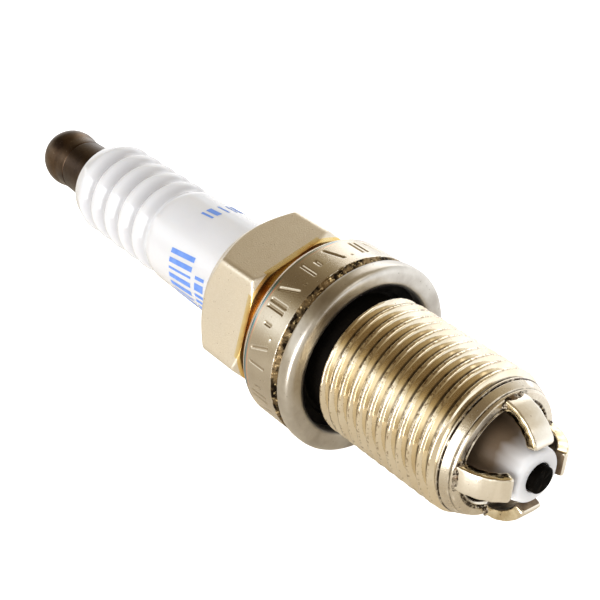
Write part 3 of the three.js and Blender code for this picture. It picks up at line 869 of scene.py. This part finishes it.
def buildInsulator():
    s = insulator
    last = s["firstRib"] - (s["ribs"] - 1) * s["pitch"]
    mid, swing = (s["crest"] + s["valley"]) / 2, (s["crest"] - s["valley"]) / 2
    ribs = []
    steps = 22
    for i in range(int((s["ribs"] - 0.5) * steps) + 1):
        turn = i / steps - 0.5
        wave = math.cos(turn * 2 * math.pi)
        ribs.append((mid + swing * wave, last + turn * s["pitch"], 0))
    low = corner([
        (1.38, s["noseTip"] + 1.2, 0), (1.38, s["noseTip"], 0.1), (s["noseRadius"], s["noseTip"], 0.85),
        (s["noseRadius"] + 0.05, s["noseTip"] + 1.1, 0.4), (s["root"], -10, 0.6), (s["root"], 1.46, 0.3),
        (6.15, 3.2, 0.3), (6.15, 8.4, 0.2), (s["barrel"], 8.85, 0.2), (s["barrel"], 16, 1.0),
        (s["crest"], last - s["pitch"], 0.8), ribs[0]], 8)
    high = corner([ribs[-1], (s["crest"] - 0.18, s["firstRib"] + 0.7, 0.5), (4.55, s["end"] - 0.25, 0.9),
                   (3.3, s["end"], 0.3), (2.1, s["end"], 0.12), (2.1, s["end"] - 1.5, 0)], 8)
    middle = [Vector(p[:2]) for p in ribs[1:-1]]
    piece = spin("insulatorBody", refine(low, 1.0) + middle + refine(high, 0.6), 144,
                 materials=[glazedCeramic()], sharp=50)
    return place(piece, body, "glazed_alumina", "insulator")


def wrappedPatch(verts, faces, angleLow, angleHigh, low, high, radius, lean=0.0):
    # a small patch of ink lying on the barrel, its far end turned by lean degrees
    across = max(2, int((angleHigh - angleLow) / 2.0))
    up = 2
    first = len(verts)
    for j in range(up + 1):
        y = low + (high - low) * j / up
        r = radius(y) + 0.012
        for i in range(across + 1):
            a = math.radians(angleLow + (angleHigh - angleLow) * i / across + lean * j / up)
            verts.append((r * math.cos(a) * mm, y * mm, r * math.sin(a) * mm))
    for j in range(up):
        for i in range(across):
            a = first + j * (across + 1) + i
            faces.append((a, a + 1, a + across + 2, a + across + 1))


def buildPrint():
    # plain bars and blocks in place of the printed name and number
    verts, faces = [], []
    s = insulator

    def radius(y):
        t = max(0.0, min(1.0, (y - 16.0) / (27.1 - 16.0)))
        return s["barrel"] + (s["crest"] - s["barrel"]) * t

    # each bar as (start angle, width in degrees); each row as (low, high, lean in degrees)
    bars = {"large": ((134, 6), (145, 6), (156, 3), (164, 6), (175, 6), (186, 3), (194, 6), (205, 6),
                      (216, 3)),
            "small": ((149, 4), (157, 9), (170, 4), (178, 4), (187, 9), (201, 4)),
            "top": ((84, 3), (73, 7), (62, 3), (51, 3), (40, 8), (29, 3), (18, 6))}
    rows = {"large": (19.0, 22.9, 5), "small": (16.8, 18.3, 2), "top": (21.1, 22.8, 2)}
    for row, (low, high, lean) in rows.items():
        for start, width in bars[row]:
            wrappedPatch(verts, faces, start, start + width, low, high, radius, lean)
    piece = makeObject("insulatorPrint", verts, faces, [blueInk()])
    return place(piece, body, "glazed_alumina")


buildInsulator()
buildPrint()
print("insulator ready")


def buildNut():
    size = {"bottom": 44.0, "waist": 47.9, "top": 54.0, "skirt": 3.2, "waistRadius": 3.0, "head": 3.3,
            "bore": 2.03, "flat": 1.0, "boreTop": 51.6}
    centre = size["top"] - size["head"]
    ball = []
    steps = 20
    for i in range(steps + 1):
        a = math.radians(-20 + (72 + 20) * i / steps)
        ball.append((size["head"] * math.cos(a), centre + size["head"] * math.sin(a), 0))
    profile = corner([
        (size["bore"], size["bottom"], 0.1), (size["skirt"], size["bottom"], 0.22),
        (size["skirt"], size["bottom"] + 0.5, 0.3), (size["waistRadius"] + 0.08, size["waist"] - 0.12, 0.1),
        (size["waistRadius"] - 0.04, size["waist"], 0.08),
        (size["waistRadius"] + 0.06, size["waist"] + 0.14, 0.1)] + ball + [
        (size["flat"], size["top"] - 0.02, 0.08), (0, size["top"] - 0.02, 0)], 5)
    inside = [Vector((0, size["boreTop"])), Vector((1.5, size["boreTop"] - 0.4)),
              Vector((size["bore"], 50.7))]
    profile[0] = Vector((size["bore"], size["bottom"] + 0.1))
    piece = spin("terminalNut", inside + refine(profile, 0.4), 96, materials=[gunMetal()], sharp=50)
    return place(piece, nut, "gunmetal", "terminal_nut")


def buildStud():
    size = {"shank": 1.95, "root": 1.6, "pitch": 0.7, "flange": 2.75, "flangeLow": 43.05,
            "flangeHigh": 43.85, "top": 50.4, "segments": 72}
    profile = corner([
        (0, 15.05, 0), (1.65, 15.05, 0.1), (size["shank"], 15.5, 0.1),
        (size["shank"], size["flangeLow"], 0.05),
        (size["flange"], size["flangeLow"], 0.12), (size["flange"], size["flangeHigh"], 0.12),
        (size["root"], size["flangeHigh"], 0.05)], 4)
    y = size["flangeHigh"]
    while y < size["top"] - size["pitch"]:
        for t, h in ((0.15, 0.0), (0.42, 1.0), (0.58, 1.0), (0.85, 0.0)):
            r = size["root"] + (size["shank"] - size["root"]) * h
            profile.append(Vector((r, y + t * size["pitch"])))
        y += size["pitch"]
    profile += [Vector((size["root"], size["top"] - 0.2)), Vector((size["root"] - 0.2, size["top"])),
                Vector((0, size["top"]))]
    piece = spin("terminalStud", profile, size["segments"], materials=[studSteel()])
    return place(piece, body, "stud_steel", "terminal_stud")


buildNut()
buildStud()
print("terminal ready")


def buildCentre():
    size = {"radius": 1.3, "tip": -23.35, "head": 1.95, "step": -2.95, "headTop": -1.4}
    lumps = [(random.random() * 6.283, round(random.uniform(2, 8)), random.random()) for _ in range(6)]

    def shape(r, y, a):
        push = sum(math.sin(a * f + p) * w for p, f, w in lumps) / 6
        near = smoothStep(size["tip"] + 1.0, size["tip"], y)
        return r + push * 0.15 * near, y + push * 0.05 * near * (1 if r > 0.1 else 0)

    profile = corner([
        (0, size["tip"], 0), (size["radius"], size["tip"], 0.22), (size["radius"], size["step"], 0),
        (size["head"], size["step"], 0.1), (size["head"], size["headTop"], 0.1),
        (0.75, size["headTop"], 0)], 5)
    piece = spin("centreElectrode", refine(profile, 0.4), 72, shape, materials=[blackElectrode()], sharp=50)
    return place(piece, body, "electrode_alloy", "center_electrode")


buildCentre()


groundArm = {"width": 2.35, "thick": 1.1, "edge": 0.24, "baseRadius": 5.3, "start": -18.8,
             "tipRadius": 2.9, "tipAlong": -22.45, "leave": (5.32, -20.6), "arrive": (4.0, -22.12),
             "firstAngle": 71.0, "stations": 30}


def armPath():
    g = groundArm
    a = Vector((g["baseRadius"], g["start"]))
    d = Vector((g["tipRadius"], g["tipAlong"]))
    leave, arrive = Vector(g["leave"]), Vector(g["arrive"])
    points = []
    for k in range(g["stations"] + 1):
        t = k / g["stations"]
        u = 1 - t
        points.append(a * u ** 3 + leave * 3 * t * u ** 2 + arrive * 3 * t * t * u + d * t ** 3)
    return points


def buildArm(number):
    g = groundArm
    turn = math.radians(g["firstAngle"] + 90 * number)
    outward = Vector((math.cos(turn), 0, math.sin(turn)))
    side = Vector((-math.sin(turn), 0, math.cos(turn)))
    along = Vector((0, 1, 0))
    path = armPath()
    verts, faces = [], []
    phase = random.random() * 6

    def section(inset):
        # rounded bar section as (across, through) in millimetres
        out = []
        w, h, e = g["width"] / 2 - inset, g["thick"] / 2 - inset, max(0.05, g["edge"] - inset * 0.3)
        for sx, sy, start in ((1, 1, 0), (-1, 1, 90), (-1, -1, 180), (1, -1, 270)):
            for k in range(5):
                a = math.radians(start + 90 * k / 4)
                out.append((sx * (w - e) + e * math.cos(a), sy * (h - e) + e * math.sin(a)))
        return out

    rings = []
    total = len(path)
    insets = {total - 1: 0.16, total - 2: 0.05}
    for i, p in enumerate(path):
        before, after = path[max(0, i - 1)], path[min(total - 1, i + 1)]
        t = (after - before).normalized()
        n = Vector((-t.y, t.x))  # away from the nose
        swell = 1 + 0.018 * math.sin(i * 0.9 + phase)
        row = []
        for across, through in section(insets.get(i, 0.0)):
            q = p + n * through * swell
            row.append(len(verts))
            verts.append(tuple((outward * q.x + along * q.y + side * across * swell) * mm))
        rings.append(row)
    size = len(rings[0])
    for low, high in zip(rings, rings[1:]):
        for k in range(size):
            faces.append((low[k], low[(k + 1) % size], high[(k + 1) % size], high[k]))
    faces.append(tuple(rings[-1]))
    faces.append(tuple(reversed(rings[0])))
    piece = makeObject(f"groundArm{number + 1}", verts, faces, [armMetal, armSideSheen, armTip], sharp=45)
    for face in piece.data.polygons:
        atTip = Vector(face.center).dot(outward) / mm < g["tipRadius"] + 0.06
        face.material_index = 2 if atTip else 1 if abs(face.normal.dot(side)) > 0.75 else 0
    return place(piece, body, "ground_alloy", f"ground_electrode_{number + 1}")


def buildWeld(number):
    # the lumpy bead where an arm is welded to the end of the shell
    g = groundArm
    turn = math.radians(g["firstAngle"] + 90 * number)
    outward = Vector((math.cos(turn), 0, math.sin(turn)))
    side = Vector((-math.sin(turn), 0, math.cos(turn)))
    verts, faces = [], []
    around, tall = 56, 6
    for j in range(tall + 1):
        for k in range(around):
            a = 2 * math.pi * k / around
            grow = 0.24 * (1 - (j / tall)) ** 1.4
            lump = 0.09 * math.sin(a * 5 + number * 2) + 0.07 * math.sin(a * 11 + number)
            lump += random.uniform(-0.02, 0.02)
            power = 4.0  # squares the bead's outline to the arm
            c, s = math.cos(a), math.sin(a)
            scale = (abs(c) ** power + abs(s) ** power) ** (-1 / power)
            w = (g["width"] / 2 - 0.02 + grow + lump * (1 - j / tall)) * scale
            h = (g["thick"] / 2 - 0.02 + grow * 0.8 + lump * 0.6 * (1 - j / tall)) * scale
            q = outward * (g["baseRadius"] + h * c) + side * (w * s)
            y = -18.92 - 0.42 * (j / tall) - abs(lump) * 0.5
            verts.append(tuple((q + Vector((0, y, 0))) * mm))
    for j in range(tall):
        for k in range(around):
            n = (k + 1) % around
            faces.append((j * around + k, j * around + n, (j + 1) * around + n, (j + 1) * around + k))
    piece = makeObject(f"weldBead{number + 1}", verts, faces, [weldMetal], sharp=80)
    return place(piece, body, "ground_alloy")


armMetal = groundAlloy()
armSideSheen = shearedEdgeSheen()
armTip = plainMetal("sparkedTip", (0.30, 0.23, 0.16), (0.12, 0.085, 0.06), (0.4, 0.6))
weldMetal = weldNickel()
for number in range(4):
    buildArm(number)
    buildWeld(number)
print("electrodes ready")


hidden = {
    "upper_glass_seal": powder("sealGlass", (0.42, 0.24, 0.15), (0.16, 0.09, 0.06), 0.2, 0.35),
    "resistor": powder("resistorFill", (0.07, 0.07, 0.07), (0.02, 0.02, 0.02), 0.25, 0.8),
    "talc_ring": powder("talcPowder", (0.86, 0.83, 0.76), (0.70, 0.66, 0.58), 0.15, 0.9),
    "electrode_copper_core": plainMetal("coreCopper", (0.90, 0.48, 0.30), (0.70, 0.33, 0.2), (0.25, 0.4)),
    "lower_packing_ring": plainMetal("packingWire", (0.62, 0.6, 0.56), (0.4, 0.38, 0.35), (0.35, 0.5)),
    "seat_washer": plainMetal("washerBrass", (0.80, 0.62, 0.36), (0.55, 0.4, 0.22), (0.3, 0.45)),
}
hidden["lower_glass_seal"] = hidden["upper_glass_seal"]
hidden["upper_packing_ring"] = hidden["lower_packing_ring"]
for node, finish in hidden.items():
    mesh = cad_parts[node].data
    mesh.materials.clear()
    mesh.materials.append(finish)
print("inner pieces painted")


def buildFloor():
    # pale card that glows; it carries painted reflections, so polished metal sees it cream on the left and
    # white on the right
    look = {"size": 1.6, "height": -0.0098, "color": (0.95, 0.95, 0.95), "paintedReflection": (0.66, 0.57, 0.42),
            "glow": 0.9, "bounce": 0.12, "paintedRightReflection": 0.4}
    size, height = look["size"], look["height"]
    verts = [(-size, -size, height), (size, -size, height), (size, size, height), (-size, size, height)]
    m, t, shader = startMaterial("paleFloor", 0.0, 0.9)
    path = wire(t, "ShaderNodeLightPath")
    position = wire(t, "ShaderNodeTexCoord").outputs["Object"]
    across = wire(t, "ShaderNodeSeparateXYZ", {0: position}).outputs[0]
    right = remap(t, across, 0.0, 0.02)
    # painted reflection: only glossy rays see the cream and the extra glow on the right
    paintedReflection = mixColor(t, right, look["paintedReflection"], look["color"])
    color = mixColor(t, path.outputs["Is Glossy Ray"], look["color"], paintedReflection)
    t.links.new(color, shader.inputs["Base Color"])
    glow = remap(t, path.outputs["Is Camera Ray"], 0.0, 1.0, look["bounce"], look["glow"])
    extra = times(t, times(t, path.outputs["Is Glossy Ray"], right), look["paintedRightReflection"])
    t.links.new(compute(t, "ADD", glow, extra), shader.inputs["Emission Color"])
    shader.inputs["Emission Strength"].default_value = 1.0
    makeObject("paleFloor", verts, [(0, 1, 2, 3)], [m])


def softBox(name, spot, aim, size, power):
    light = bpy.data.lights.new(name, "AREA")
    light.shape = "RECTANGLE"
    light.size, light.size_y = size
    light.energy = power
    obj = bpy.data.objects.new(name, light)
    scene.collection.objects.link(obj)
    obj.visible_camera = False
    obj.location = spot
    obj.rotation_euler = (Vector(aim) - Vector(spot)).to_track_quat("-Z", "Y").to_euler()


def buildWorld():
    # soft neutral room; polished metal sees pale cards with a dark gap straight above
    look = {"room": (0.42, 0.41, 0.40), "ceiling": (0.70, 0.69, 0.68), "strength": 1.0,
            "seen": (1.0, 1.0, 1.0)}
    world = bpy.data.worlds.new("studio")
    scene.world = world
    world.use_nodes = True
    t = world.node_tree
    background = t.nodes["Background"]
    direction = wire(t, "ShaderNodeTexCoord").outputs["Generated"]
    xyz = wire(t, "ShaderNodeSeparateXYZ", {0: direction})
    fade = remap(t, xyz.outputs[2], -0.2, 0.9)
    room = mixColor(t, fade, look["room"], look["ceiling"])
    turn = times(t, compute(t, "ARCTAN2", xyz.outputs[2], xyz.outputs[0]), math.degrees(1))
    spot = remap(t, turn, -180.0, 180.0)
    ramp = wire(t, "ShaderNodeValToRGB", {0: spot})
    # what polished metal sees at each turn about the plug's axis, in degrees from +X towards +Z
    bands = [(-180, (0.58, 0.48, 0.34)), (-150, (0.44, 0.35, 0.24)), (-60, (0.60, 0.52, 0.39)),
             (-40, (1.1, 1.1, 1.08)), (12, (1.1, 1.1, 1.08)), (26, (0.66, 0.57, 0.42)),
             (55, (0.42, 0.33, 0.19)), (72, (0.25, 0.18, 0.095)), (100, (0.19, 0.13, 0.06)),
             (110, (0.30, 0.22, 0.115)), (120, (0.6, 0.5, 0.31)), (132, (1.3, 1.25, 1.15)),
             (150, (1.5, 1.48, 1.4)), (165, (0.8, 0.7, 0.52)), (180, (0.58, 0.48, 0.34))]
    paintRamp(ramp, [((angle + 180) / 360, color) for angle, color in bands])
    path = wire(t, "ShaderNodeLightPath")
    room = mixColor(t, path.outputs["Is Glossy Ray"], room, ramp.outputs[0])
    t.links.new(mixColor(t, path.outputs["Is Camera Ray"], room, look["seen"]), background.inputs["Color"])
    background.inputs["Strength"].default_value = look["strength"]


def buildCamera():
    view = {"place": (-49.304, -75.242, 84.324), "aim": (1.653, 10.278, -0.540), "roll": 13.376,
            "lens": 79.63}
    data = bpy.data.cameras.new("camera")
    data.lens = view["lens"]
    data.sensor_width = 36
    data.clip_start = 0.005
    obj = bpy.data.objects.new("camera", data)
    scene.collection.objects.link(obj)
    spot, aim = Vector(view["place"]) * mm, Vector(view["aim"]) * mm
    look = (aim - spot).to_track_quat("-Z", "Y").to_matrix().to_4x4()
    obj.matrix_world = Matrix.Translation(spot) @ look @ Matrix.Rotation(math.radians(-view["roll"]), 4, "Z")
    scene.camera = obj


buildFloor()
buildWorld()
lamps = {
    "leftBox": {"spot": (-0.36, -0.06, 0.15), "aim": (0, 0.01, 0), "size": (0.20, 0.34), "power": 0.95},
    "backBox": {"spot": (0.40, 0.22, 0.14), "aim": (0, 0.01, 0), "size": (0.30, 0.34), "power": 0.34},
    "frontBox": {"spot": (0.20, -0.30, 0.22), "aim": (0, -0.01, 0), "size": (0.18, 0.14), "power": 0.10},
}
for name, lamp in lamps.items():
    softBox(name, **lamp)
buildCamera()
scene.view_settings.view_transform = "Standard"
scene.view_settings.look = "None"
print("light and camera ready")
